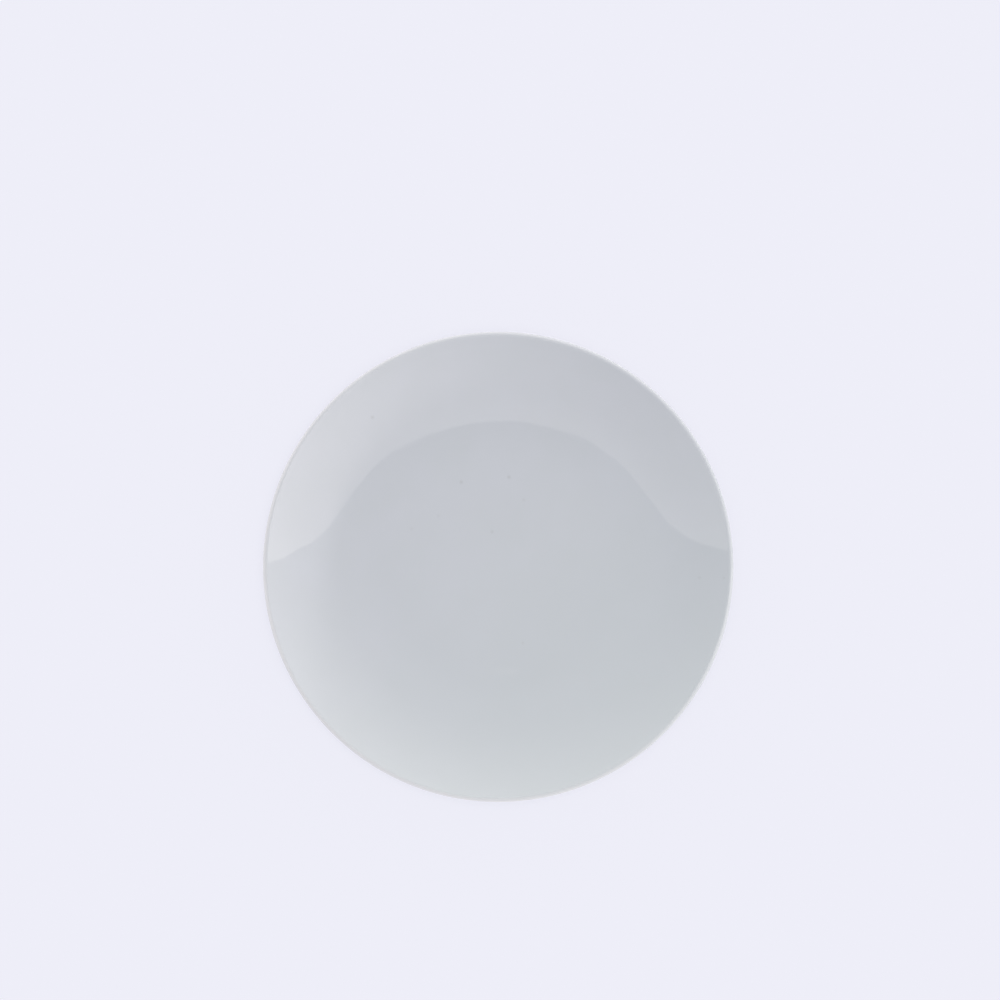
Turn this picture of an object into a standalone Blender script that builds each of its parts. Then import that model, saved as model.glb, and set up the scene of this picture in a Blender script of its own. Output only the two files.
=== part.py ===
"""Coupe dessert plate of glazed porcelain, modelled as it is made.

The porcelain body is pressed and turned in one piece with its foot ring. A coat of glaze covers
the face, the lip and the back down to the foot, and a second field of glaze lies inside the foot
ring. The foot ring itself is wiped bare before firing, so the two glazes never meet.

Metres, +Z up. The plate lies on its foot ring with the origin on the table under its centre.
"""

import math

import bpy
from mathutils import Vector

# Finished sizes, with the glaze
PLATE_DIAMETER = 0.200
PLATE_HEIGHT = 0.018
WELL_THICKNESS = 0.0046
LIP_THICKNESS = 0.0030
GLAZE_THICKNESS = 0.00025
BOND_GAP = 0.00005

# The face from the centre out: a level well, a slight bend, a shallow cone, a round rise to the lip
WELL_RADIUS = 0.047
CONE_START = 0.062
RISE_START = 0.0678
CONE_ANGLE = math.radians(5.3)
LIP_ANGLE = math.radians(30)

# Foot ring, measured where its sides would meet the table
FOOT_DIAMETER = 0.112
FOOT_WIDTH = 0.0040
FOOT_DRAFT = math.radians(15)
FOOT_CORNER_RADIUS = 0.0007
FOOT_OUTER_FILLET = 0.0022
FOOT_INNER_FILLET = 0.0013
GLAZE_LINE_HEIGHT = 0.0009

# Facets of the turned shapes
TURN_STEPS = 64
BEND_SPANS = 3
RISE_SPANS = 7
LIP_SPANS = 6
FILLET_SPANS = 3
CORNER_SPANS = 2
AXIS_MERGE = 0.00001

# Colours as photographed: cool white glaze over a duller, warmer bare body
GLAZE_SRGB = (0.800, 0.808, 0.828)
BISQUE_SRGB = (0.784, 0.769, 0.741)

# The bare body lies under the coat of glaze
COAT = GLAZE_THICKNESS + BOND_GAP
WELL_WALL = WELL_THICKNESS - 2 * COAT
LIP_RADIUS = LIP_THICKNESS / 2 - COAT
LIP_INWARD = Vector((math.sin(LIP_ANGLE), -math.cos(LIP_ANGLE)))
LIP_CENTRE = Vector((PLATE_DIAMETER - LIP_THICKNESS, 2 * PLATE_HEIGHT - LIP_THICKNESS)) / 2
FACE_TOP = LIP_CENTRE - LIP_INWARD * LIP_RADIUS

# Radii of the bend and of the rise, and how far each stretch of the face climbs
BEND_RADIUS = (CONE_START - WELL_RADIUS) / math.sin(CONE_ANGLE)
RISE_RADIUS = (FACE_TOP.x - RISE_START) / (math.sin(LIP_ANGLE) - math.sin(CONE_ANGLE))
BEND_CLIMB = BEND_RADIUS * (1 - math.cos(CONE_ANGLE))
CONE_CLIMB = (RISE_START - CONE_START) * math.tan(CONE_ANGLE)
RISE_CLIMB = RISE_RADIUS * (math.cos(CONE_ANGLE) - math.cos(LIP_ANGLE))
FACE_HEIGHT = FACE_TOP.y - RISE_CLIMB - CONE_CLIMB - BEND_CLIMB
UNDERSIDE_HEIGHT = FACE_HEIGHT - WELL_WALL


def arc_stations(start, first_angle, last_angle, radius, spans):
    """Points along an arc that turns from one slope to another, each with its slope angle."""
    stations = []
    for i in range(spans + 1):
        angle = first_angle + (last_angle - first_angle) * i / spans
        across = math.sin(angle) - math.sin(first_angle)
        climb = math.cos(first_angle) - math.cos(angle)
        stations.append((start + Vector((across, climb)) * radius, angle))
    return stations


def bend_stations():
    """The slight bend where the level well turns into the shallow cone."""
    well_edge = Vector((WELL_RADIUS, FACE_HEIGHT))
    return arc_stations(well_edge, 0.0, CONE_ANGLE, BEND_RADIUS, BEND_SPANS)


def rise_stations():
    """The round rise from the end of the shallow cone to the lip."""
    foot_of_rise = Vector((RISE_START, FACE_HEIGHT + BEND_CLIMB + CONE_CLIMB))
    return arc_stations(foot_of_rise, CONE_ANGLE, LIP_ANGLE, RISE_RADIUS, RISE_SPANS)


def back_outline():
    """The back from the lip down to the cone, under a wall that thins evenly towards the lip."""
    points = []
    for point, angle in reversed(rise_stations()):
        outward = (point.x - RISE_START) / (FACE_TOP.x - RISE_START)
        wall = WELL_WALL + (2 * LIP_RADIUS - WELL_WALL) * outward
        points.append(point + Vector((math.sin(angle), -math.cos(angle))) * wall)
    return points


def meeting_point(start, direction, other, other_direction):
    """Where two lines cross."""
    along = (other - start).cross(other_direction) / direction.cross(other_direction)
    return start + direction * along


def rounded(before, corner, after, radius, spans):
    """Points of the arc that rounds the corner between two straight runs."""
    arriving = (before - corner).normalized()
    leaving = (after - corner).normalized()
    half_angle = arriving.angle(leaving) / 2
    setback = radius / math.tan(half_angle)
    centre = corner + (arriving + leaving).normalized() * radius / math.sin(half_angle)
    first = corner + arriving * setback - centre
    last = corner + leaving * setback - centre
    sweep = math.pi - 2 * half_angle
    points = []
    for i in range(spans + 1):
        turned = sweep * i / spans
        spoke = first * math.sin(sweep - turned) + last * math.sin(turned)
        points.append(centre + spoke / math.sin(sweep))
    return points


def lip_outline():
    """The round lip, over its top and down to the back, without its two ends."""
    start_angle = math.pi / 2 + LIP_ANGLE
    points = []
    for i in range(1, LIP_SPANS):
        angle = start_angle - i / LIP_SPANS * math.pi
        points.append(LIP_CENTRE + Vector((math.cos(angle), math.sin(angle))) * LIP_RADIUS)
    return points


def foot_outline(shoulder):
    """The foot ring in three runs: glazed outer side, bare sole, glazed inner side and underside."""
    cone = Vector((math.cos(CONE_ANGLE), math.sin(CONE_ANGLE)))
    outer_side = Vector((math.sin(FOOT_DRAFT), math.cos(FOOT_DRAFT)))
    inner_side = Vector((-outer_side.x, outer_side.y))
    outer_sole = Vector((FOOT_DIAMETER / 2, 0.0))
    inner_sole = Vector((FOOT_DIAMETER / 2 - FOOT_WIDTH, 0.0))
    centre = Vector((0.0, UNDERSIDE_HEIGHT))
    level = Vector((1.0, 0.0))
    outer_root = meeting_point(shoulder, cone, outer_sole, outer_side)
    inner_root = meeting_point(centre, level, inner_sole, inner_side)
    side_length = GLAZE_LINE_HEIGHT / outer_side.y
    outer_line = outer_sole + outer_side * side_length
    inner_line = inner_sole + inner_side * side_length
    outer = rounded(shoulder, outer_root, outer_sole, FOOT_OUTER_FILLET, FILLET_SPANS)
    sole = rounded(outer_root, outer_sole, inner_sole, FOOT_CORNER_RADIUS, CORNER_SPANS)
    sole += rounded(outer_sole, inner_sole, inner_root, FOOT_CORNER_RADIUS, CORNER_SPANS)
    inner = rounded(inner_sole, inner_root, centre, FOOT_INNER_FILLET, FILLET_SPANS)
    return outer + [outer_line], sole, [inner_line] + inner + [centre]


def coat_outline(outline):
    """An outline moved off the body by the bond gap, square to each of its runs."""
    normals = []
    for here, there in zip(outline, outline[1:]):
        along = (there - here).normalized()
        normals.append(Vector((-along.y, along.x)))
    moved = []
    for point, before, after in zip(outline, normals[:1] + normals, normals + normals[-1:]):
        shift = (before + after) / (1 + before.dot(after)) * BOND_GAP
        moved.append(Vector((max(point.x + shift.x, 0.0), point.y + shift.y)))
    return moved


def linear(srgb):
    """A colour value as written, turned to the linear value that shading works in."""
    return tuple(((c + 0.055) / 1.055) ** 2.4 if c > 0.04045 else c / 12.92 for c in srgb)


def ceramic(name, srgb, roughness):
    material = bpy.data.materials.new(name)
    material.use_nodes = True
    shader = material.node_tree.nodes["Principled BSDF"]
    shader.inputs["Base Color"].default_value = (*linear(srgb), 1.0)
    shader.inputs["Roughness"].default_value = roughness
    shader.inputs["Metallic"].default_value = 0.0
    return material


def turned_piece(name, outline, material, collection, parent):
    """A piece turned on the wheel: its outline swept once round the plate's axis."""
    mesh = bpy.data.meshes.new(name)
    points = [(radius, 0.0, height) for radius, height in outline]
    runs = [(i, i + 1) for i in range(len(points) - 1)]
    mesh.from_pydata(points, runs, [])
    mesh.materials.append(material)
    piece = bpy.data.objects.new(name, mesh)
    piece.parent = parent
    collection.objects.link(piece)
    turn = piece.modifiers.new("Turn", "SCREW")
    turn.axis = "Z"
    turn.angle = 2 * math.pi
    turn.steps = TURN_STEPS
    turn.render_steps = TURN_STEPS
    turn.use_merge_vertices = True
    turn.merge_threshold = AXIS_MERGE
    turn.use_smooth_shade = True
    return piece


def glaze_skin(name, outline, material, collection, parent):
    """A skin of glaze: the surface it lies on, thickened away from the body."""
    piece = turned_piece(name, coat_outline(outline), material, collection, parent)
    coat = piece.modifiers.new("Coat", "SOLIDIFY")
    coat.thickness = GLAZE_THICKNESS
    coat.offset = 1.0
    coat.use_even_offset = True
    coat.use_quality_normals = True
    return piece


def build_plate():
    for old in list(bpy.data.objects):
        bpy.data.objects.remove(old, do_unlink=True)
    plate = bpy.data.collections.new("dessert_plate")
    bpy.context.scene.collection.children.link(plate)
    table_centre = bpy.data.objects.new("table_centre", None)
    plate.objects.link(table_centre)

    face = [Vector((0.0, FACE_HEIGHT))]
    face += [point for point, angle in bend_stations() + rise_stations()]
    back = back_outline()
    outer_foot, sole, underside = foot_outline(back[-1])
    outside = face + lip_outline() + back + outer_foot

    bisque = ceramic("bare_porcelain", BISQUE_SRGB, 0.75)
    glaze = ceramic("porcelain_glaze", GLAZE_SRGB, 0.08)
    turned_piece("porcelain_body", outside + sole + underside, bisque, plate, table_centre)
    glaze_skin("outer_glaze", outside, glaze, plate, table_centre)
    glaze_skin("base_glaze", underside, glaze, plate, table_centre)


build_plate()
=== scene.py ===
# %% [markdown]
# # A coupe dessert plate in glazed porcelain
#
# A coupe plate has no flange: its level well bends up in one sweep to a rounded lip. This lesson
# turns that plate as a potter does, from half of its section. It dresses the fired body in its two
# fields of glaze, gives each surface the finish that the kiln left on it, and photographs the plate
# square on to its face.
#
# The size comes from a CAD model that is loaded first and never changed. Each fine piece below
# stands in for one of its nodes.

# %% Load the plate's frame
import math

import bpy
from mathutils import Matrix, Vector


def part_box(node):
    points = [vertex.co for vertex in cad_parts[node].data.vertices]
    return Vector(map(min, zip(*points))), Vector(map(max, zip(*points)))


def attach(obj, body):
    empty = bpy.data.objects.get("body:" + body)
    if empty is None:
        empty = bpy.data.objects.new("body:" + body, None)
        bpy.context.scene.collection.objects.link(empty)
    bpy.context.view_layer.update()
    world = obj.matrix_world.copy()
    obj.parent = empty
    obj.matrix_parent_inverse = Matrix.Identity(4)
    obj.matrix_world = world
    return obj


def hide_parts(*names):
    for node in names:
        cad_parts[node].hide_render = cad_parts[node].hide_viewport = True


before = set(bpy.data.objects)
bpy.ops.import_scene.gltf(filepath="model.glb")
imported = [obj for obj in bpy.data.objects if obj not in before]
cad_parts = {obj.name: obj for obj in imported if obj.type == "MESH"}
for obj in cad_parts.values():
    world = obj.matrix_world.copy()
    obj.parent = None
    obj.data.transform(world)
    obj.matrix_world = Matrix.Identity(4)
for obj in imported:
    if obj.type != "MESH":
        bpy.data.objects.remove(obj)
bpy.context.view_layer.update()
print("CAD nodes:", sorted(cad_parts))

# %% [markdown]
# ## Measures of the plate
#
# The plate's width and height are read from the frame. The rest of the section can't be read from
# a box, so the few radii and slopes that the CAD model is turned from are named here: a level well,
# a slight bend, a shallow cone and a round rise. The cone is a little finer than the model's: its
# slope grows by a degree on the way out, so that a reflection crosses it without a kink. Everything
# else is worked out from these.

# %% Measures
MM = 0.001
lowest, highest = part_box("outer_glaze")
PLATE_RADIUS = (highest.x - lowest.x) / 2
PLATE_HEIGHT = highest.z
GLAZE_THICKNESS = 0.25 * MM
BOND_GAP = 0.05 * MM
COAT = GLAZE_THICKNESS + BOND_GAP

WELL_RADIUS = 47 * MM
CONE_START = 62 * MM
RISE_START = 67.8 * MM
CONE_ANGLE = math.radians(4.72)
RISE_ANGLE = math.radians(5.73)
LIP_ANGLE = math.radians(30)
WELL_WALL = 4.0 * MM
LIP_RADIUS = 1.2 * MM

FOOT_RADIUS = 56 * MM
FOOT_WIDTH = 4.0 * MM
FOOT_DRAFT = math.radians(15)
FOOT_CORNER_RADIUS = 0.7 * MM
FOOT_OUTER_FILLET = 2.2 * MM
FOOT_INNER_FILLET = 1.3 * MM
GLAZE_LINE_HEIGHT = 0.9 * MM

LIP_INWARD = Vector((math.sin(LIP_ANGLE), -math.cos(LIP_ANGLE)))
LIP_CENTRE = Vector((PLATE_RADIUS, PLATE_HEIGHT)) - Vector((1, 1)) * (LIP_RADIUS + COAT)
FACE_TOP = LIP_CENTRE - LIP_INWARD * LIP_RADIUS
BEND_RADIUS = (CONE_START - WELL_RADIUS) / math.sin(CONE_ANGLE)
CONE_RADIUS = (RISE_START - CONE_START) / (math.sin(RISE_ANGLE) - math.sin(CONE_ANGLE))
RISE_RADIUS = (FACE_TOP.x - RISE_START) / (math.sin(LIP_ANGLE) - math.sin(RISE_ANGLE))
BEND_CLIMB = BEND_RADIUS * (1 - math.cos(CONE_ANGLE))
CONE_CLIMB = CONE_RADIUS * (math.cos(CONE_ANGLE) - math.cos(RISE_ANGLE))
RISE_CLIMB = RISE_RADIUS * (math.cos(RISE_ANGLE) - math.cos(LIP_ANGLE))
FACE_HEIGHT = FACE_TOP.y - RISE_CLIMB - CONE_CLIMB - BEND_CLIMB
UNDERSIDE_HEIGHT = FACE_HEIGHT - WELL_WALL
print(f"plate {2 * PLATE_RADIUS / MM:.1f} mm wide, {PLATE_HEIGHT / MM:.1f} mm high")
print(f"well face at {FACE_HEIGHT / MM:.2f} mm, underside at {UNDERSIDE_HEIGHT / MM:.2f} mm")

# %% [markdown]
# ## Drawing half of the section
#
# A potter's profile tool is half of the plate's section. Here it is a row of points, each a radius
# and a height, that starts at the centre of the face, runs out over the lip, comes back under the
# plate and ends at the centre of the underside. It is put together from straight runs and arcs,
# because that is how a profile tool is filed, and arcs keep the highlights smooth.

# %% Runs of the section
def straight_run(start, end, count):
    """Points along a straight run, without its first point."""
    return [start.lerp(end, i / count) for i in range(1, count + 1)]


def slope_arc(start, first_angle, last_angle, radius, count):
    """An arc that turns from one slope to another, each point with its slope."""
    stations = []
    for i in range(count + 1):
        angle = first_angle + (last_angle - first_angle) * i / count
        across = math.sin(angle) - math.sin(first_angle)
        climb = math.cos(first_angle) - math.cos(angle)
        stations.append((start + Vector((across, climb)) * radius, angle))
    return stations


print(f"the bend has a radius of {BEND_RADIUS / MM:.0f} mm, the rise of {RISE_RADIUS / MM:.0f} mm")

# %% Corners of the section
def rounded_corner(before, corner, after, radius, count):
    """The arc that rounds the corner between two straight runs."""
    arriving = (before - corner).normalized()
    leaving = (after - corner).normalized()
    half_angle = arriving.angle(leaving) / 2
    setback = radius / math.tan(half_angle)
    centre = corner + (arriving + leaving).normalized() * radius / math.sin(half_angle)
    first = corner + arriving * setback - centre
    last = corner + leaving * setback - centre
    sweep = math.pi - 2 * half_angle
    points = []
    for i in range(count + 1):
        turned = sweep * i / count
        spoke = first * math.sin(sweep - turned) + last * math.sin(turned)
        points.append(centre + spoke / math.sin(sweep))
    return points


def crossing(start, direction, other, other_direction):
    """Where two lines cross."""
    along = (other - start).cross(other_direction) / direction.cross(other_direction)
    return start + direction * along


print(f"the sole's corners have a radius of {FOOT_CORNER_RADIUS / MM:.1f} mm")

# %% The face and the lip
WELL_STEPS = 24
BEND_STEPS = 8
CONE_STEPS = 4
RISE_STEPS = 24
LIP_STEPS = 36

well_centre = Vector((0, FACE_HEIGHT))
well_edge = Vector((WELL_RADIUS, FACE_HEIGHT))
bend = slope_arc(well_edge, 0, CONE_ANGLE, BEND_RADIUS, BEND_STEPS)
cone = slope_arc(bend[-1][0], CONE_ANGLE, RISE_ANGLE, CONE_RADIUS, CONE_STEPS)
rise = slope_arc(cone[-1][0], RISE_ANGLE, LIP_ANGLE, RISE_RADIUS, RISE_STEPS)

face = [well_centre] + straight_run(well_centre, well_edge, WELL_STEPS)
face += [point for point, angle in bend[1:] + cone[1:] + rise[1:]]

lip = []
for i in range(1, LIP_STEPS):
    angle = math.pi / 2 + LIP_ANGLE - math.pi * i / LIP_STEPS
    lip.append(LIP_CENTRE + Vector((math.cos(angle), math.sin(angle))) * LIP_RADIUS)
print(len(face), "points over the face,", len(lip), "round the lip")

# %% The back and the outer side of the foot, down to the glaze line
FILLET_STEPS = 10
FOOT_STEPS = 12

back = []
for point, angle in reversed(rise):
    outward = (point.x - RISE_START) / (FACE_TOP.x - RISE_START)
    wall = WELL_WALL + (2 * LIP_RADIUS - WELL_WALL) * outward
    back.append(point + Vector((math.sin(angle), -math.cos(angle))) * wall)

outer_side = Vector((math.sin(FOOT_DRAFT), math.cos(FOOT_DRAFT)))
inner_side = Vector((-outer_side.x, outer_side.y))
outer_sole = Vector((FOOT_RADIUS, 0))
inner_sole = Vector((FOOT_RADIUS - FOOT_WIDTH, 0))
back_direction = Vector((math.cos(RISE_ANGLE), math.sin(RISE_ANGLE)))
outer_root = crossing(back[-1], back_direction, outer_sole, outer_side)
outer_fillet = rounded_corner(
    back[-1], outer_root, outer_sole, FOOT_OUTER_FILLET, FILLET_STEPS
)
outer_line = outer_sole + outer_side * (GLAZE_LINE_HEIGHT / outer_side.y)

outside = face + lip + back + straight_run(back[-1], outer_fillet[0], CONE_STEPS)
outside += outer_fillet[1:] + straight_run(outer_fillet[-1], outer_line, FOOT_STEPS)
print(len(outside), "points from the centre of the face to the glaze line")

# %% The sole of the foot and the underside inside it
CORNER_STEPS = 8
SOLE_STEPS = 6
INNER_SIDE_STEPS = 16
UNDERSIDE_STEPS = 20

underside_centre = Vector((0, UNDERSIDE_HEIGHT))
inner_root = crossing(underside_centre, Vector((1, 0)), inner_sole, inner_side)
inner_line = inner_sole + inner_side * (GLAZE_LINE_HEIGHT / inner_side.y)
sole = rounded_corner(outer_root, outer_sole, inner_sole, FOOT_CORNER_RADIUS, CORNER_STEPS)
inner_corner = rounded_corner(
    outer_sole, inner_sole, inner_root, FOOT_CORNER_RADIUS, CORNER_STEPS
)
sole += straight_run(sole[-1], inner_corner[0], SOLE_STEPS) + inner_corner[1:]

inner_fillet = rounded_corner(
    inner_sole, inner_root, underside_centre, FOOT_INNER_FILLET, CORNER_STEPS
)
underside = [inner_line] + straight_run(inner_line, inner_fillet[0], INNER_SIDE_STEPS)
underside += inner_fillet[1:]
underside += straight_run(inner_fillet[-1], underside_centre, UNDERSIDE_STEPS)
print(len(sole), "points round the sole,", len(underside), "under the plate")

# %% [markdown]
# ## Turning a piece
#
# On a real plate the clay is thrown on a turning plaster mould and a profile tool shapes it. In
# Blender the Spin tool or a Screw modifier would do the same. Here each ring is extruded from the
# last and scaled, as one models a plate by hand from a circle: every ring is shared by the faces on
# both sides of it, so no seam has to be welded, and the two poles close as fans.

# %% The wheel
RING_SEGMENTS = 192
print("each ring has", RING_SEGMENTS, "points")


def turn_on_the_wheel(name, section):
    """Extrudes and scales a circle along a section that starts and ends on the axis."""
    rings = section[1:-1]
    bpy.ops.object.select_all(action="DESELECT")
    bpy.ops.mesh.primitive_circle_add(vertices=RING_SEGMENTS, radius=rings[0].x, fill_type="TRIFAN")
    piece = bpy.context.active_object
    piece.name = name
    piece.data.name = name
    bpy.ops.object.mode_set(mode="EDIT")
    bpy.ops.mesh.select_all(action="SELECT")
    bpy.ops.transform.translate(value=(0, 0, rings[0].y))
    bpy.ops.mesh.select_mode(type="EDGE")
    bpy.ops.mesh.region_to_loop()
    for here, there in zip(rings, rings[1:]):
        step = (0, 0, there.y - here.y)
        bpy.ops.mesh.extrude_edges_move(TRANSFORM_OT_translate={"value": step})
        grow = there.x / here.x
        bpy.ops.transform.resize(value=(grow, grow, 1), center_override=(0, 0, there.y))
    bpy.ops.mesh.edge_face_add()
    bpy.ops.mesh.select_mode(type="FACE")
    bpy.ops.mesh.poke()
    bpy.ops.mesh.select_all(action="SELECT")
    bpy.ops.mesh.normals_make_consistent(inside=False)
    bpy.ops.object.mode_set(mode="OBJECT")
    bpy.ops.object.shade_smooth()
    print(name, "has", len(rings), "rings and", len(piece.data.polygons), "faces")
    return piece


# %% [markdown]
# ## The body and its two coats of glaze
#
# The plate is bisque fired, dipped in glaze, wiped clean on the sole of its foot and fired again.
# So the body is one piece, and the glaze is two: one coat over the face, lip and back, one field
# inside the foot ring. Glaze is a liquid in the kiln. It draws thin over the lip, runs thicker into
# the hollow above the foot, and stops in a rounded edge where it was wiped.

# %% Lift a section off the body
def section_normals(points):
    """Unit directions off the body, one for each point of a section."""
    facing = []
    for here, there in zip(points, points[1:]):
        along = (there - here).normalized()
        facing.append(Vector((-along.y, along.x)))
    return [
        ((before + after) / 2).normalized()
        for before, after in zip(facing[:1] + facing, facing + facing[-1:])
    ]


def lifted(points, normals, distances):
    """The section moved off the body. A point on the axis stays on it."""
    moved = []
    for point, normal, distance in zip(points, normals, distances):
        place = point + normal * distance
        moved.append(Vector((0.0 if point.x == 0 else place.x, place.y)))
    return moved


print(f"the bonded side of a coat lies {BOND_GAP / MM:.2f} mm off the body")

# %% Lay a coat along part of the section
THIN_ON_LIP = 0.75
THIN_REACH = 4 * LIP_RADIUS
EDGE_LENGTH = 0.45 * MM
POOL_DEPTH = 0.30 * MM
POOL_REACH = 2.6 * MM


def coat_thickness(point, glaze_line, hollow):
    """The glaze at a point: thin over the lip, pooled in a hollow, rounded off at its edge."""
    from_lip = (point - LIP_CENTRE).length - LIP_RADIUS
    thinning = max(0.0, 1 - from_lip / THIN_REACH)
    from_hollow = min((point - hollow).length / POOL_REACH, 1.0)
    from_edge = min((point - glaze_line).length / EDGE_LENGTH, 1.0)
    full = GLAZE_THICKNESS * (1 - (1 - THIN_ON_LIP) * thinning)
    full += POOL_DEPTH * (1 - from_hollow**2) ** 2
    return full * math.sqrt(1 - (1 - from_edge) ** 2)


def coat_section(points, glaze_line, hollow):
    """The surface of a coat and the side that is bonded to the body. They meet at the glaze line."""
    normals = section_normals(points)
    tops = [BOND_GAP + coat_thickness(point, glaze_line, hollow) for point in points]
    surface = lifted(points, normals, tops)
    bonded = lifted(points, normals, [BOND_GAP] * len(points))
    return surface, bonded


print(f"glaze {GLAZE_THICKNESS / MM:.2f} mm thick, {POOL_DEPTH / MM:.2f} mm more where it pools")

# %% Turn the body and both coats
body = turn_on_the_wheel("bare_body", outside + sole + underside)

surface, bonded = coat_section(outside, outer_line, outer_fillet[FILLET_STEPS // 2])
glaze_coat = turn_on_the_wheel("glaze_coat", surface + bonded[-2::-1])

surface, bonded = coat_section(underside, inner_line, inner_fillet[CORNER_STEPS // 2])
foot_glaze = turn_on_the_wheel("foot_glaze", bonded[::-1] + surface[1:])

# %% [markdown]
# ## Kiln warp
#
# Porcelain softens in the kiln. The foot stays flat on its shelf, but the wall that overhangs it
# settles a little unevenly, by less than the thickness of a sheet of paper. One sees it only in the
# gloss: the edge of a reflection wavers. A Displace modifier gives that, weighted from nothing at the
# foot to all of it at the lip, and the same cloud pattern moves the body and its glaze together.

# %% Warp the overhanging wall
WARP_HEIGHT = 0.11 * MM
WARP_WIDTH = 26 * MM
WARP_FROM = FOOT_RADIUS
WARP_DETAIL = 1
# the cloud's tone that leaves the wall where it is
WARP_MIDDLE = 0.5

warp_cloud = bpy.data.textures.new("kiln_warp", "CLOUDS")
warp_cloud.noise_scale = WARP_WIDTH
warp_cloud.noise_depth = WARP_DETAIL

for piece in (body, glaze_coat, foot_glaze):
    overhang = piece.vertex_groups.new(name="overhang")
    for vertex in piece.data.vertices:
        reach = (vertex.co.xy.length - WARP_FROM) / (PLATE_RADIUS - WARP_FROM)
        if reach > 0:
            overhang.add([vertex.index], min(reach, 1.0), "REPLACE")
    bpy.ops.object.select_all(action="DESELECT")
    piece.select_set(True)
    bpy.context.view_layer.objects.active = piece
    bpy.ops.object.modifier_add(type="DISPLACE")
    warp = piece.modifiers[-1]
    warp.texture = warp_cloud
    warp.texture_coords = "LOCAL"
    warp.direction = "Z"
    warp.strength = WARP_HEIGHT
    warp.mid_level = WARP_MIDDLE
    warp.vertex_group = overhang.name
    bpy.ops.object.modifier_apply(modifier=warp.name)
print(f"warped by up to {WARP_HEIGHT / 2 / MM:.3f} mm either way")

# %% [markdown]
# ## The gloss glaze
#
# The glaze is a clear glass about a quarter of a millimetre thick over white hard porcelain. To the
# eye it is a cool, slightly grey white with a mirror-like gloss: an index of refraction near 1.5 and
# a low roughness. What keeps it from looking like plastic is small. Its tone drifts a little over
# centimetres, and is a trace greener on the side where the flame had less air, and that side is also
# drawn a little lighter, as painted light. It is whiter where it ran thin over the lip, and that pale
# lip is also painted light: it is strongest at the lower left and gone at the upper right. It is
# cooler where it pooled at the foot. Its surface has a faint orange peel, and a few iron specks melted
# into it. Each of these colours is kept as a tint with the share that it takes from place to place,
# and the tints are laid over each other at the end.

# %% Colours and a node helper
def linear_colour(hex_code):
    """A colour written as sRGB hex, turned to the linear values that shading works in."""
    channels = [int(hex_code[i : i + 2], 16) / 255 for i in (1, 3, 5)]
    linear = [c / 12.92 if c <= 0.04045 else ((c + 0.055) / 1.055) ** 2.4 for c in channels]
    return (*linear, 1.0)


def add_node(tree, kind, inputs=None, **settings):
    """Adds a node, sets it up and feeds its inputs from values or from other nodes' outputs."""
    node = tree.nodes.new(kind)
    for name, value in settings.items():
        setattr(node, name, value)
    for name, value in (inputs or {}).items():
        if isinstance(value, bpy.types.NodeSocket):
            tree.links.new(value, node.inputs[name])
        else:
            node.inputs[name].default_value = value
    return node


def new_material(name):
    """A node material with its shader, ready to be fed."""
    material = bpy.data.materials.new(name)
    material.use_nodes = True
    return material, material.node_tree, material.node_tree.nodes["Principled BSDF"]


print("white as linear:", linear_colour("#FFFFFF"))

# %% The glaze's tone
GLAZE_TONE = "#C6C9D0"
GLAZE_DRIFT = "#C2C6CB"
DRIFT_WIDTH = 18 * MM
DRIFT_DETAIL = 2.0

glaze, tree, shader = new_material("clear_gloss_glaze_on_hard_porcelain")
place = add_node(tree, "ShaderNodeTexCoord").outputs["Object"]
drift = add_node(
    tree,
    "ShaderNodeTexNoise",
    {"Vector": place, "Scale": 1 / DRIFT_WIDTH, "Detail": DRIFT_DETAIL},
).outputs["Fac"]
# each tint's share of the tone, from 0 to 1 over the plate, and its colour
tints = [(drift, GLAZE_DRIFT)]
print("glaze drifts between", GLAZE_TONE, "and", GLAZE_DRIFT)

# %% A green cast from the flame, and painted light towards the lower right
# painted light: this tint is greener than the glaze and also a little lighter than its drifting tone,
# standing in for brighter light on the lower right
GLAZE_CAST_AND_PAINTED_LIGHT = "#C4CBCD"
CAST_AND_LIGHT_SHARE = 0.6
CAST_AND_LIGHT_SIDE = math.radians(300)
CAST_AND_LIGHT_START = -0.3 * PLATE_RADIUS


def side_share(tree, place, side, start, most):
    """A share that grows towards one side of the plate: 0 up to the start, the most at the lip."""
    direction = (math.cos(side), math.sin(side), 0)
    towards = add_node(
        tree, "ShaderNodeVectorMath", {0: place, 1: direction}, operation="DOT_PRODUCT"
    ).outputs["Value"]
    return add_node(
        tree,
        "ShaderNodeMapRange",
        {"Value": towards, "From Min": start, "From Max": PLATE_RADIUS, "To Max": most},
    ).outputs["Result"]


cast_and_painted_light = side_share(tree, place, CAST_AND_LIGHT_SIDE, CAST_AND_LIGHT_START, CAST_AND_LIGHT_SHARE)
tints.append((cast_and_painted_light, GLAZE_CAST_AND_PAINTED_LIGHT))
print("greenest at", round(math.degrees(CAST_AND_LIGHT_SIDE)), "degrees round the plate")

# %% Thin on the lip, with painted light at its lower left
# the pale lip tint is thin glaze and painted light together
GLAZE_THIN_LIP_AND_PAINTED_LIGHT = "#DCDCDE"
LIP_LINE_START = PLATE_RADIUS - 2.4 * MM
LIP_LINE_FULL = PLATE_RADIUS - 0.6 * MM
LIP_PAINTED_LIGHT_SIDE = math.radians(210)
LIP_PAINTED_LIGHT_START = -PLATE_RADIUS
LIP_PAINTED_LIGHT_MOST = 1.0

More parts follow.
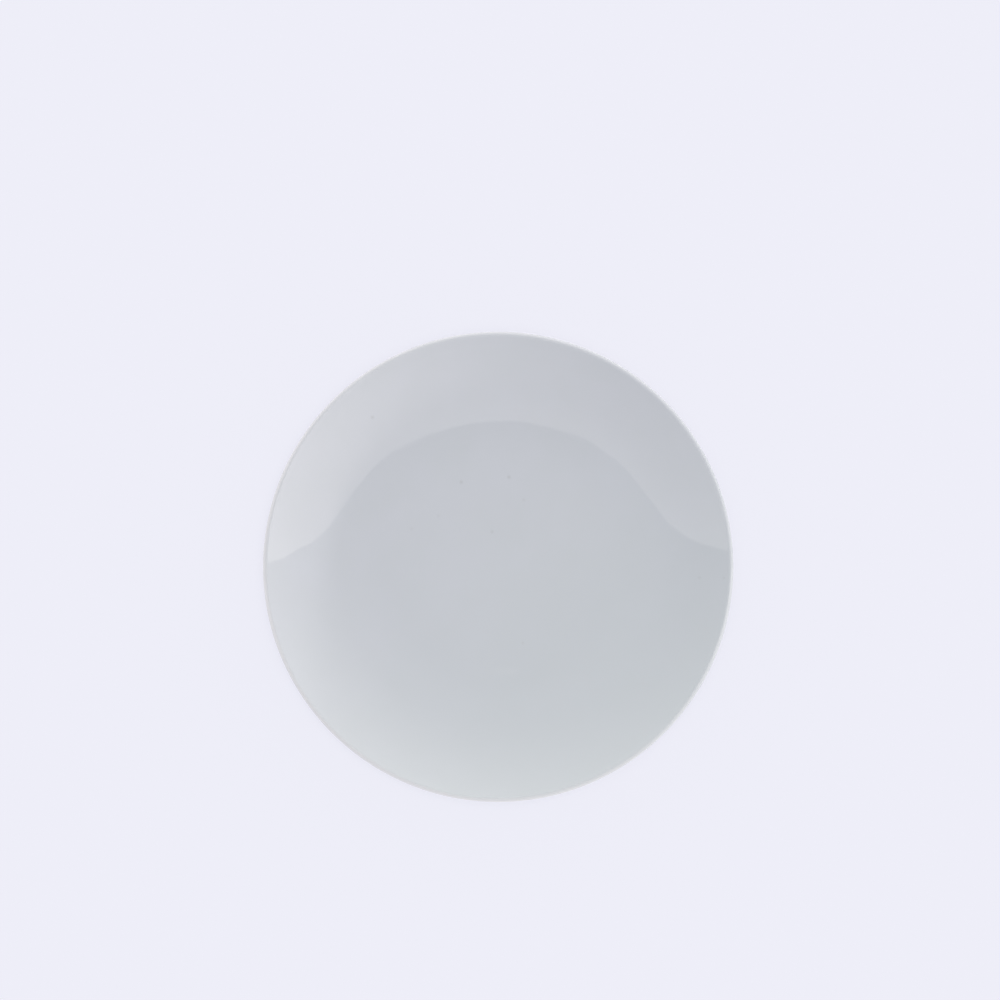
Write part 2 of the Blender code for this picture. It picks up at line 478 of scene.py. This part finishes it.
flat_place = add_node(
    tree, "ShaderNodeVectorMath", {0: place, 1: (1, 1, 0)}, operation="MULTIPLY"
).outputs["Vector"]
radius = add_node(
    tree, "ShaderNodeVectorMath", {0: flat_place}, operation="LENGTH"
).outputs["Value"]
lip_line = add_node(
    tree,
    "ShaderNodeMapRange",
    {"Value": radius, "From Min": LIP_LINE_START, "From Max": LIP_LINE_FULL},
    interpolation_type="SMOOTHSTEP",
).outputs["Result"]
# painted light: the pale lip grows from none at the upper right to all of it at the lower left,
# standing in for the light that falls there
lip_painted_light_share = side_share(tree, place, LIP_PAINTED_LIGHT_SIDE, LIP_PAINTED_LIGHT_START, LIP_PAINTED_LIGHT_MOST)
thin_lip_and_painted_light = add_node(
    tree, "ShaderNodeMath", {0: lip_line, 1: lip_painted_light_share}, operation="MULTIPLY"
).outputs["Value"]
tints.append((thin_lip_and_painted_light, GLAZE_THIN_LIP_AND_PAINTED_LIGHT))
print(f"paler from {LIP_LINE_START / MM:.1f} mm out")

# %% Pooled at the roots of the foot
GLAZE_POOL = "#BBC2C8"
POOL_START = 1.5 * POOL_REACH
POOL_FULL = 0.3 * POOL_REACH

height = add_node(tree, "ShaderNodeSeparateXYZ", {"Vector": place}).outputs["Z"]
half_place = add_node(tree, "ShaderNodeCombineXYZ", {"X": radius, "Y": height}).outputs["Vector"]
for root in (outer_root, inner_root):
    gap = add_node(
        tree, "ShaderNodeVectorMath", {0: half_place, 1: (*root, 0)}, operation="DISTANCE"
    ).outputs["Value"]
    pool = add_node(
        tree,
        "ShaderNodeMapRange",
        {"Value": gap, "From Min": POOL_START, "From Max": POOL_FULL},
        interpolation_type="SMOOTHSTEP",
    ).outputs["Result"]
    tints.append((pool, GLAZE_POOL))
    print(f"pooled round a radius of {root.x / MM:.1f} mm")

# %% [markdown]
# ## Iron specks, and one dot of painted shade
#
# Clay and glaze hold a few grains of iron, which melt in the kiln to faint grey-brown dots. A noise
# texture could scatter them, but the photograph shows just where they lie on this plate. So each one
# is placed by its pixel and fades from its middle. The last dot, the darkest, is no iron: it is
# painted shade on the lip's edge at the lower left. The dots are drawn as wide as the photograph's
# blur makes them, because a true speck would be narrower than a pixel.

# %% Where the specks are
PLATE_WIDTH_PX = 470.7
PLATE_CENTRE_PX = Vector((498.2, 566.8))
PIXEL = 2 * PLATE_RADIUS / PLATE_WIDTH_PX
SPECK_AND_SHADE_TONE = "#6E665C"
# each speck as a pixel of the photograph, its width in millimetres and how strong it is; the last is
# painted shade
SPECKS_AND_SHADE_DOT = (
    ((372, 417), 2.5, 0.15),
    ((461, 482), 2.5, 0.14),
    ((509, 477), 2.6, 0.14),
    ((492, 532), 2.3, 0.11),
    ((523, 644), 2.0, 0.08),
    ((524, 500), 2.3, 0.07),
    ((438, 516), 2.2, 0.06),
    ((411, 529), 2.2, 0.06),
    ((700, 578), 2.2, 0.08),
    ((724, 578), 1.8, 0.08),
    # painted shade: this last dot lies on the lip's edge at the lower left and is no iron speck
    ((388, 776), 1.8, 0.18),
)


def speck_place(photo_pixel):
    """A pixel of the face as a point of the plate, in metres from its axis."""
    across = (Vector(photo_pixel) - PLATE_CENTRE_PX) * PIXEL
    return (across.x, -across.y, 0.0)


print(len(SPECKS_AND_SHADE_DOT), "iron specks, the first at", speck_place(SPECKS_AND_SHADE_DOT[0][0]))

# %% Draw the specks and the dot of painted shade
for photo_pixel, width, strength in SPECKS_AND_SHADE_DOT:
    gap = add_node(
        tree,
        "ShaderNodeVectorMath",
        {0: flat_place, 1: speck_place(photo_pixel)},
        operation="DISTANCE",
    ).outputs["Value"]
    speck_and_shade_share = add_node(
        tree,
        "ShaderNodeMapRange",
        {"Value": gap, "From Min": width * MM / 2, "From Max": 0.0, "To Max": strength},
        interpolation_type="SMOOTHSTEP",
    ).outputs["Result"]
    tints.append((speck_and_shade_share, SPECK_AND_SHADE_TONE))
print("the glaze has", len(tints), "tints")

# %% Lay the tints over each other
# a Mix node has sockets for numbers, vectors and colours, and these are its colour ones
MIX_UNDER = 6
MIX_OVER = 7
MIX_RESULT = 2

tone = linear_colour(GLAZE_TONE)
for share, hex_code in tints:
    tone = add_node(
        tree,
        "ShaderNodeMix",
        {"Factor": share, MIX_UNDER: tone, MIX_OVER: linear_colour(hex_code)},
        data_type="RGBA",
    ).outputs[MIX_RESULT]
tree.links.new(tone, shader.inputs["Base Color"])
print("glaze colour has", len(tree.nodes), "nodes")

# %% [markdown]
# ## The glaze's gloss
#
# Molten glaze levels itself, so its gloss is nearly a mirror's and edges that it reflects are crisp.
# It still isn't flat: a ripple far lower than a hair is thick leaves an orange peel about a
# centimetre wide. A Bump node is enough for that, since only the reflections show it.

# %% Gloss and ripple
GLAZE_ROUGHNESS = 0.03
GLAZE_IOR = 1.5
RIPPLE_WIDTH = 11 * MM
RIPPLE_HEIGHT = 0.02 * MM
RIPPLE_DETAIL = 2.0
RIPPLE_FINENESS = 0.3

ripple = add_node(
    tree,
    "ShaderNodeTexNoise",
    {
        "Vector": place,
        "Scale": 1 / RIPPLE_WIDTH,
        "Detail": RIPPLE_DETAIL,
        "Roughness": RIPPLE_FINENESS,
    },
).outputs["Fac"]
surface_normal = add_node(
    tree, "ShaderNodeBump", {"Height": ripple, "Distance": RIPPLE_HEIGHT}
).outputs["Normal"]
tree.links.new(surface_normal, shader.inputs["Normal"])
shader.inputs["Roughness"].default_value = GLAZE_ROUGHNESS
shader.inputs["IOR"].default_value = GLAZE_IOR
print("glaze has", len(tree.nodes), "nodes")

# %% [markdown]
# ## The bare foot
#
# Unglazed porcelain is matt and faintly sandy, and a little warmer than the glaze. The sole is
# ground after firing and then slid over tables, so it carries fine rings and grey rub marks. Real
# rings and grit are finer still. Here they are drawn as coarse as they need to show.

# %% The bare porcelain's tone
BARE_TONE = "#D3D2CF"
BARE_RUBBED = "#B8B7B4"
RUB_WIDTH = 5 * MM
RUB_DETAIL = 4.0
RUB_START = 0.45
RUB_FULL = 0.75

bare, tree, shader = new_material("bare_ground_porcelain")
place = add_node(tree, "ShaderNodeTexCoord").outputs["Object"]
rub = add_node(
    tree, "ShaderNodeTexNoise", {"Vector": place, "Scale": 1 / RUB_WIDTH, "Detail": RUB_DETAIL}
).outputs["Fac"]
worn = add_node(
    tree, "ShaderNodeMapRange", {"Value": rub, "From Min": RUB_START, "From Max": RUB_FULL}
).outputs["Result"]
tone = add_node(
    tree,
    "ShaderNodeMix",
    {
        "Factor": worn,
        MIX_UNDER: linear_colour(BARE_TONE),
        MIX_OVER: linear_colour(BARE_RUBBED),
    },
    data_type="RGBA",
).outputs[MIX_RESULT]
tree.links.new(tone, shader.inputs["Base Color"])
print("bare porcelain rubs from", BARE_TONE, "to", BARE_RUBBED)

# %% Its grinding rings and sandy grain
RING_SPACING = 0.6 * MM
RING_WAVER = 0.6
RING_SHARE = 0.4
GRAIN_WIDTH = 0.35 * MM
GRAIN_DETAIL = 3.0
GRAIN_HEIGHT = 0.02 * MM
BARE_ROUGHNESS = 0.8
# the Wave texture runs through one ring in this much of its own units
WAVE_PERIOD = 2 * math.pi / 20

grain = add_node(
    tree,
    "ShaderNodeTexNoise",
    {"Vector": place, "Scale": 1 / GRAIN_WIDTH, "Detail": GRAIN_DETAIL},
).outputs["Fac"]
rings = add_node(
    tree,
    "ShaderNodeTexWave",
    {"Vector": place, "Scale": WAVE_PERIOD / RING_SPACING, "Distortion": RING_WAVER},
    wave_type="RINGS",
    rings_direction="Z",
).outputs["Fac"]
rough_height = add_node(
    tree, "ShaderNodeMath", {0: rings, 1: RING_SHARE, 2: grain}, operation="MULTIPLY_ADD"
).outputs["Value"]
surface_normal = add_node(
    tree, "ShaderNodeBump", {"Height": rough_height, "Distance": GRAIN_HEIGHT}
).outputs["Normal"]
tree.links.new(surface_normal, shader.inputs["Normal"])
shader.inputs["Roughness"].default_value = BARE_ROUGHNESS
print("bare porcelain has", len(tree.nodes), "nodes")

# %% [markdown]
# ## Dressing the pieces and tying them to the frame
#
# Both coats wear the glaze, and the body shows its bare porcelain on the sole of the foot. Each
# fine piece then stands for the CAD node of the same part. The plate has no joints, so everything
# rides on the one body, called root.

# %% Dress, ride and replace
for piece, material, node, slot in (
    (body, bare, "porcelain_body", "bare_porcelain"),
    (glaze_coat, glaze, "outer_glaze", "porcelain_glaze"),
    (foot_glaze, glaze, "base_glaze", "porcelain_glaze"),
):
    piece.data.materials.clear()
    piece.data.materials.append(material)
    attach(piece, "root")
    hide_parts(node)
    print(piece.name, "wears", material.name, "and stands for", node)

# %% [markdown]
# ## The floor
#
# The plate lies on pale matt paper that runs on into a pale backdrop. Lit paper never comes out as
# even as a studio backdrop does, so most of it glows by itself in the backdrop's colour: all of it
# far off, nearly all beside the plate, and about a third underneath. The soft shadow under the
# overhanging wall stays, and that shadow is what sets the plate down.

# %% What a camera or a gloss sees
def seen_directly(tree):
    """1 for what the camera sees straight on, in a gloss or through glass, and otherwise 0."""
    path = add_node(tree, "ShaderNodeLightPath").outputs
    either = add_node(
        tree,
        "ShaderNodeMath",
        {0: path["Is Camera Ray"], 1: path["Is Glossy Ray"]},
        operation="MAXIMUM",
    ).outputs["Value"]
    return add_node(
        tree, "ShaderNodeMath", {0: either, 1: path["Is Transmission Ray"]}, operation="MAXIMUM"
    ).outputs["Value"]


print("Light Path tells what is seen from what only lights")

# %% Lay the paper
BACKDROP = "#EEEEF8"
FLOOR_WIDTH = 8.0
FLOOR_DROP = 0.05 * MM
PAPER_ROUGHNESS = 1.0
PAPER_GLOSS = 0.0

bpy.ops.object.select_all(action="DESELECT")
bpy.ops.mesh.primitive_plane_add(size=FLOOR_WIDTH, location=(0, 0, -FLOOR_DROP))
floor = bpy.context.active_object
floor.name = "pale_floor"
paper, tree, shader = new_material("matt_paper")
shader.inputs["Base Color"].default_value = linear_colour(BACKDROP)
shader.inputs["Roughness"].default_value = PAPER_ROUGHNESS
shader.inputs["Specular IOR Level"].default_value = PAPER_GLOSS
floor.data.materials.append(paper)
print("floor is", FLOOR_WIDTH, "m wide")

# %% Let it glow evenly, except under the plate
EVEN_UNDER = 0.3
EVEN_BESIDE = 0.96
UNDER_EDGE = 0.90 * PLATE_RADIUS
BESIDE_EDGE = 1.06 * PLATE_RADIUS
FAR_START = 1.5 * PLATE_RADIUS
FAR_EDGE = 6.0 * PLATE_RADIUS

floor_place = add_node(tree, "ShaderNodeTexCoord").outputs["Object"]
from_axis = add_node(
    tree, "ShaderNodeVectorMath", {0: floor_place}, operation="LENGTH"
).outputs["Value"]
even_share = 0.0
for start, end, low, high in (
    (UNDER_EDGE, BESIDE_EDGE, EVEN_UNDER, EVEN_BESIDE),
    (FAR_START, FAR_EDGE, 0.0, 1 - EVEN_BESIDE),
):
    growing = add_node(
        tree,
        "ShaderNodeMapRange",
        {"Value": from_axis, "From Min": start, "From Max": end, "To Min": low, "To Max": high},
        interpolation_type="SMOOTHSTEP",
    ).outputs["Result"]
    even_share = add_node(
        tree, "ShaderNodeMath", {0: even_share, 1: growing}, operation="ADD"
    ).outputs["Value"]
glow_share = add_node(
    tree, "ShaderNodeMath", {0: seen_directly(tree), 1: even_share}, operation="MULTIPLY"
).outputs["Value"]
even = add_node(tree, "ShaderNodeEmission", {"Color": linear_colour(BACKDROP)})
blend = add_node(
    tree,
    "ShaderNodeMixShader",
    {0: glow_share, 1: shader.outputs["BSDF"], 2: even.outputs["Emission"]},
)
tree.links.new(blend.outputs["Shader"], tree.nodes["Material Output"].inputs["Surface"])
print("floor keeps", 1 - EVEN_UNDER, "of its shading under the plate")

# %% [markdown]
# ## The light of the room
#
# The plate is lit by a white studio with no lamp in it, so nothing casts a hard shadow. The room is
# even and slightly cool, with a warmer band low down, where its windows are. That band leans: it is
# brighter at the far right than at the near left, so one side of the rim catches more light. A
# camera or a gloss doesn't see the band. They see plain walls in the backdrop's colour, which grow
# dimmer towards the ceiling. Two soft things up there are seen only in the gloss, unless a view looks
# up: a skylight at the near right, and the dim shape of the camera's stand almost overhead.

# %% Light the room
ROOM_LIGHT = 0.70
ROOM_TINT = "#F4F7FF"

world = bpy.data.worlds.new("white_studio")
bpy.context.scene.world = world
world.use_nodes = True
tree = world.node_tree
room = tree.nodes["Background"]
room.inputs["Color"].default_value = linear_colour(ROOM_TINT)
room.inputs["Strength"].default_value = ROOM_LIGHT
print("room lit at", ROOM_LIGHT)

# %% Brighten it low down
LOW_LIGHT = 1.31
LOW_TINT = "#FFF8EC"
LOW_LEAN = (0.48, 0.52, 0.0)
# how far up a direction points, from 0 at the horizon to 1 overhead
LOW_FULL = 0.35
LOW_END = 0.75

direction = add_node(tree, "ShaderNodeTexCoord").outputs["Generated"]
upward = add_node(tree, "ShaderNodeSeparateXYZ", {"Vector": direction}).outputs["Z"]
low_band = add_node(
    tree,
    "ShaderNodeMapRange",
    {"Value": upward, "From Min": LOW_END, "From Max": LOW_FULL, "To Max": LOW_LIGHT},
    interpolation_type="SMOOTHSTEP",
).outputs["Result"]
lean = add_node(
    tree, "ShaderNodeVectorMath", {0: direction, 1: LOW_LEAN}, operation="DOT_PRODUCT"
).outputs["Value"]
leaning = add_node(
    tree, "ShaderNodeMath", {0: lean, 1: low_band, 2: low_band}, operation="MULTIPLY_ADD"
).outputs["Value"]
low_side = add_node(
    tree, "ShaderNodeBackground", {"Color": linear_colour(LOW_TINT), "Strength": leaning}
)
light = add_node(
    tree, "ShaderNodeAddShader", {0: room.outputs["Background"], 1: low_side.outputs["Background"]}
)
print("low band adds", LOW_LIGHT, "on average round the room")

# %% Dim the walls towards the ceiling
CEILING = 0.6
# how far up the walls start to dim, and where the ceiling starts
WALL_START = 0.12
CEILING_START = 0.5

mirrored = add_node(
    tree,
    "ShaderNodeMapRange",
    {
        "Value": upward,
        "From Min": WALL_START,
        "From Max": CEILING_START,
        "To Min": 1.0,
        "To Max": CEILING,
    },
    interpolation_type="SMOOTHSTEP",
).outputs["Result"]
print("walls at the backdrop's tone, ceiling at", CEILING, "of it")

# %% Open a skylight
SKYLIGHT_GLOW = 0.68
SKYLIGHT_SIDE = (1.0, -0.75, 0.0)
# how far a direction points to that side, and how far up
SKYLIGHT_START = 0.2
SKYLIGHT_FULL = 0.5
SKYLIGHT_FOOT = 0.35
SKYLIGHT_CLEAR = 0.6

to_skylight = add_node(
    tree, "ShaderNodeVectorMath", {0: direction, 1: SKYLIGHT_SIDE}, operation="DOT_PRODUCT"
).outputs["Value"]
skylight = SKYLIGHT_GLOW
for reach, start, full in (
    (to_skylight, SKYLIGHT_START, SKYLIGHT_FULL),
    (upward, SKYLIGHT_FOOT, SKYLIGHT_CLEAR),
):
    share = add_node(
        tree,
        "ShaderNodeMapRange",
        {"Value": reach, "From Min": start, "From Max": full},
        interpolation_type="SMOOTHSTEP",
    ).outputs["Result"]
    skylight = add_node(
        tree, "ShaderNodeMath", {0: skylight, 1: share}, operation="MULTIPLY"
    ).outputs["Value"]
mirrored = add_node(
    tree, "ShaderNodeMath", {0: mirrored, 1: skylight}, operation="ADD"
).outputs["Value"]
print("skylight adds", SKYLIGHT_GLOW, "high at the near right")

# %% Hang the camera's stand overhead and show the room
STAND_DIRECTION = Vector((0.08, -0.12, 1.0)).normalized()
# how far from its middle the stand fades out, between directions that are 1 long
STAND_REACH = 0.27
STAND_DIM = 0.34

from_stand = add_node(
    tree, "ShaderNodeVectorMath", {0: direction, 1: STAND_DIRECTION}, operation="DISTANCE"
).outputs["Value"]
stand = add_node(
    tree,
    "ShaderNodeMapRange",
    {"Value": from_stand, "From Min": STAND_REACH, "From Max": 0.0, "To Max": STAND_DIM},
    interpolation_type="SMOOTHSTEP",
).outputs["Result"]
mirrored = add_node(
    tree, "ShaderNodeMath", {0: mirrored, 1: stand}, operation="SUBTRACT"
).outputs["Value"]
walls = add_node(
    tree, "ShaderNodeBackground", {"Color": linear_colour(BACKDROP), "Strength": mirrored}
)
both = add_node(
    tree,
    "ShaderNodeMixShader",
    {0: seen_directly(tree), 1: light.outputs["Shader"], 2: walls.outputs["Background"]},
)
tree.links.new(both.outputs["Shader"], tree.nodes["World Output"].inputs["Surface"])
print("room's light has", len(tree.nodes), "nodes")

# %% [markdown]
# ## Cards in the gloss
#
# A mirror-like glaze shows what stands round it, so a photographer sets white cards beside the plate
# and lets their edges draw lines in the gloss. One card stands along the plate's near edge: its top
# edge draws the hill-shaped line that crosses the face. It is dimmer near the floor, the skylight's
# glow falls across its right side at a slant, and both its ends are a little brighter. A second card,
# farther off, shows in the well when the plate is seen from lower down. Only a gloss sees the cards,
# so they light nothing.

# %% Stand a card up
QUARTER_TURN = math.radians(90)


def stand_card(name, spot, turn, roll, width, bottom, top):
    """An upright card that only a gloss sees."""
    bpy.ops.object.select_all(action="DESELECT")
    bpy.ops.mesh.primitive_plane_add(size=1)
    card = bpy.context.active_object
    card.name = name
    card.scale = (width, top - bottom, 1)
    card.rotation_euler = (QUARTER_TURN, roll, turn)
    card.location = (*spot, (top + bottom) / 2)
    card.visible_camera = False
    card.visible_diffuse = False
    card.visible_transmission = False
    card.visible_shadow = False
    print(name, "stands from", bottom, "to", top, "m")
    return card


print("cards are hidden from the camera and from all that is matt")

# %% Let a card glow
CARD_TINT = "#FFF9FA"


def glow_card(card, base, fades):
    """Makes a card glow at a base level, times a share for each fade along a direction of the room."""
    white, tree, shader = new_material("white_" + card.name)
    tree.nodes.remove(shader)
    spot_on_card = add_node(tree, "ShaderNodeNewGeometry").outputs["Position"]
    brightness = base
    for axis, start, end, first_share, last_share in fades:
        along = add_node(
            tree, "ShaderNodeVectorMath", {0: spot_on_card, 1: axis}, operation="DOT_PRODUCT"
        ).outputs["Value"]
        share = add_node(
            tree,
            "ShaderNodeMapRange",
            {
                "Value": along,
                "From Min": start,
                "From Max": end,
                "To Min": first_share,
                "To Max": last_share,
            },
            interpolation_type="SMOOTHSTEP",
        ).outputs["Result"]
        brightness = add_node(
            tree, "ShaderNodeMath", {0: brightness, 1: share}, operation="MULTIPLY"
        ).outputs["Value"]
    glow = add_node(
        tree, "ShaderNodeEmission", {"Color": linear_colour(CARD_TINT), "Strength": brightness}
    )
    tree.links.new(glow.outputs["Emission"], tree.nodes["Material Output"].inputs["Surface"])
    card.data.materials.append(white)
    print(card.name, "glows at", base, "with", len(fades), "fades")


print("cards glow in", CARD_TINT)

# %% The near card
NEAR_OFFSET = 0.1111
NEAR_ASKEW = 0.0229
NEAR_WIDTH = 4.4
NEAR_BOTTOM = 0.0
NEAR_TOP = 1.2376
NEAR_GLOW = 1.65
# the direction of a fade, where it starts and ends, in metres, and the share of the glow at both ends
FLOOR_FADE = ((0, 0, 1), 0.10, 0.28, 0.70, 1.0)
SLANTED_FADE = ((1, 0, -0.28), -0.165, 0.05, 0.80, 1.44)
LEFT_END_FADE = ((1, 0, 0), -0.9, 0.0, 1.22, 1.0)
RIGHT_END_FADE = ((1, 0, 0), 0.3, 1.0, 1.0, 1.15)
NEAR_FADES = (FLOOR_FADE, SLANTED_FADE, LEFT_END_FADE, RIGHT_END_FADE)

near_card = stand_card(
    "near_card", (0, -NEAR_OFFSET), NEAR_ASKEW, 0, NEAR_WIDTH, NEAR_BOTTOM, NEAR_TOP
)
glow_card(near_card, NEAR_GLOW, NEAR_FADES)

# %% The far card
FAR_AZIMUTH = math.radians(150)
FAR_AWAY = 1.6
FAR_ROLL = math.radians(25)
FAR_WIDTH = 0.8
FAR_BOTTOM = 0.35
FAR_TOP = 1.0
FAR_GLOW = 1.15

far_spot = (FAR_AWAY * math.cos(FAR_AZIMUTH), FAR_AWAY * math.sin(FAR_AZIMUTH))
far_turn = FAR_AZIMUTH + QUARTER_TURN
far_card = stand_card("far_card", far_spot, far_turn, FAR_ROLL, FAR_WIDTH, FAR_BOTTOM, FAR_TOP)
glow_card(far_card, FAR_GLOW, ())

# %% [markdown]
# ## The camera
#
# The photograph looks straight at the plate's face: its outline is a true circle there. So the
# camera hangs over the plate and looks straight down. Its lens is worked out from the circle's width
# in the photograph, and the camera is moved sideways, not turned, to set the circle at its place.

# %% Hang the camera
PHOTO_PIXELS = 1000
CAMERA_HEIGHT = 1.40
SENSOR_WIDTH = 36.0

camera_data = bpy.data.cameras.new("face_on_camera")
camera_data.sensor_width = SENSOR_WIDTH
camera_data.lens = SENSOR_WIDTH * (CAMERA_HEIGHT - LIP_CENTRE.y) / (PIXEL * PHOTO_PIXELS)
camera = bpy.data.objects.new("face_on_camera", camera_data)
camera.location = (
    (PHOTO_PIXELS / 2 - PLATE_CENTRE_PX.x) * PIXEL,
    (PLATE_CENTRE_PX.y - PHOTO_PIXELS / 2) * PIXEL,
    CAMERA_HEIGHT,
)
bpy.context.collection.objects.link(camera)
bpy.context.scene.camera = camera
print(f"lens {camera_data.lens:.1f} mm at {CAMERA_HEIGHT} m")

# %% [markdown]
# ## Finish
#
# The Standard view transform shows a colour about as it is written.

# %% Finish
bpy.context.scene.view_settings.view_transform = "Standard"
